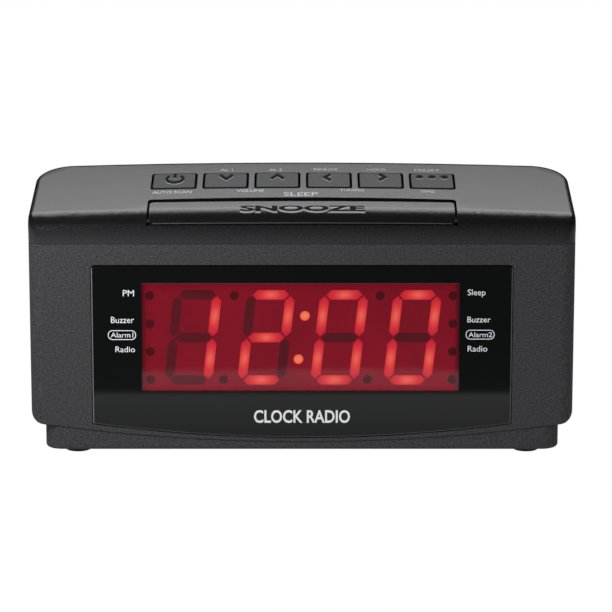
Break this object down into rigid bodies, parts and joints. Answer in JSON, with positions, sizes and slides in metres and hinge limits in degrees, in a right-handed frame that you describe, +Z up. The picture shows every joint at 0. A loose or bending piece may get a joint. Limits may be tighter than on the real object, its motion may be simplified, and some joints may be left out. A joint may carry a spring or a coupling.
{
  "type": "clock radio",
  "caption": "Wedge-shaped clock radio with a red digit display behind a gloss panel, sloping top keys, a snooze bar and a rear speaker.",
  "frame": {"origin": "centre of the bounding box at the underside of the rubber feet", "axes": "+X to the right across the display, +Y from the front to the back, +Z up"},
  "size_m": [0.1754, 0.0704, 0.0919],
  "materials": {
    "case_plastic": "fine spark texture",
    "top_plastic": "satin with a fine texture",
    "key_plastic": "satin",
    "panel_gloss": "polished",
    "red_filter": "polished tinted acrylic",
    "lit_segment": "glowing",
    "dark_segment": "satin",
    "display_black": "matte",
    "chip_clear": "clear",
    "circuit_board": "solder mask",
    "screw_steel": "zinc plated",
    "black_component": "moulded",
    "plunger_plastic": "moulded",
    "tinned_steel": "tinned",
    "capacitor_sleeve": "shrink sleeve",
    "ribbon_cable": "flat cable",
    "speaker_steel": "pressed and painted",
    "cone_paper": "pressed paper",
    "ferrite": "sintered",
    "copper_wire": "enamelled wire",
    "clip_plastic": "moulded",
    "rubber": "matte",
    "door_plastic": "fine spark texture",
    "cell_jacket": "printed jacket"
  },
  "bodies": {
    "case": {"cabinet": "case_plastic", "base": "case_plastic", "top_cover": "top_plastic", "bezel_panel": "panel_gloss", "display_filter": "red_filter", "digit_segments_lit": "lit_segment", "colon_dots": "lit_segment", "digit_segments_dark": "dark_segment", "indicator_dots": "dark_segment", "display_housing": "display_black", "led_chips": "chip_clear", "display_board": "circuit_board", "key_board": "circuit_board", "main_board": "circuit_board", "display_screws": "screw_steel", "case_screws": "screw_steel", "key_board_screws": "screw_steel", "board_screws": "screw_steel", "speaker_screws": "screw_steel", "key_switches": "black_component", "controller_chip": "black_component", "amplifier_chip": "black_component", "power_jack": "black_component", "tuner_module": "tinned_steel", "timing_crystal": "tinned_steel", "battery_contacts": "tinned_steel", "electrolytic_capacitors": "capacitor_sleeve", "display_ribbon": "ribbon_cable", "key_ribbon": "ribbon_cable", "speaker_frame": "speaker_steel", "speaker_magnet": "speaker_steel", "ferrite_rod": "ferrite", "aerial_coil": "copper_wire", "rod_clips": "clip_plastic", "rubber_feet": "rubber", "aerial_grommet": "rubber", "backup_batteries": "cell_jacket"},
    "power_key": {"power_button": "key_plastic", "power_switch_plunger": "plunger_plastic"},
    "volume_down_key": {"volume_down_button": "key_plastic", "volume_down_switch_plunger": "plunger_plastic"},
    "volume_up_key": {"volume_up_button": "key_plastic", "volume_up_switch_plunger": "plunger_plastic"},
    "tuning_down_key": {"tuning_down_button": "key_plastic", "tuning_down_switch_plunger": "plunger_plastic"},
    "tuning_up_key": {"tuning_up_button": "key_plastic", "tuning_up_switch_plunger": "plunger_plastic"},
    "preset_key": {"preset_button": "key_plastic", "preset_switch_plunger": "plunger_plastic"},
    "snooze_key": {"snooze_bar": "key_plastic", "snooze_switch_plunger": "plunger_plastic"},
    "door": {"battery_door": "door_plastic"},
    "cone": {"speaker_cone": "cone_paper"}
  },
  "joints": [
    {"name": "power_press", "type": "slide", "parent": "case", "child": "power_key", "axis": [0, 0.342, -0.9397], "range_m": [0, 0.0005], "stiffness_N_per_m": 500},
    {"name": "volume_down_press", "type": "slide", "parent": "case", "child": "volume_down_key", "axis": [0, 0.342, -0.9397], "range_m": [0, 0.0005], "stiffness_N_per_m": 500},
    {"name": "volume_up_press", "type": "slide", "parent": "case", "child": "volume_up_key", "axis": [0, 0.342, -0.9397], "range_m": [0, 0.0005], "stiffness_N_per_m": 500},
    {"name": "tuning_down_press", "type": "slide", "parent": "case", "child": "tuning_down_key", "axis": [0, 0.342, -0.9397], "range_m": [0, 0.0005], "stiffness_N_per_m": 500},
    {"name": "tuning_up_press", "type": "slide", "parent": "case", "child": "tuning_up_key", "axis": [0, 0.342, -0.9397], "range_m": [0, 0.0005], "stiffness_N_per_m": 500},
    {"name": "preset_press", "type": "slide", "parent": "case", "child": "preset_key", "axis": [0, 0.342, -0.9397], "range_m": [0, 0.0005], "stiffness_N_per_m": 500},
    {"name": "snooze_press", "type": "slide", "parent": "case", "child": "snooze_key", "axis": [0, 0.342, -0.9397], "range_m": [0, 0.0008], "stiffness_N_per_m": 600},
    {"name": "battery_door_hinge", "type": "hinge", "parent": "case", "child": "door", "pos_m": [0, 0.0004, 0.0033], "axis": [-1, 0, 0], "range_deg": [0, 100]},
    {"name": "speaker_cone_travel", "type": "slide", "parent": "case", "child": "cone", "axis": [0, 0.9397, 0.342], "range_m": [-0.0004, 0.0004], "stiffness_N_per_m": 1000}
  ]
}
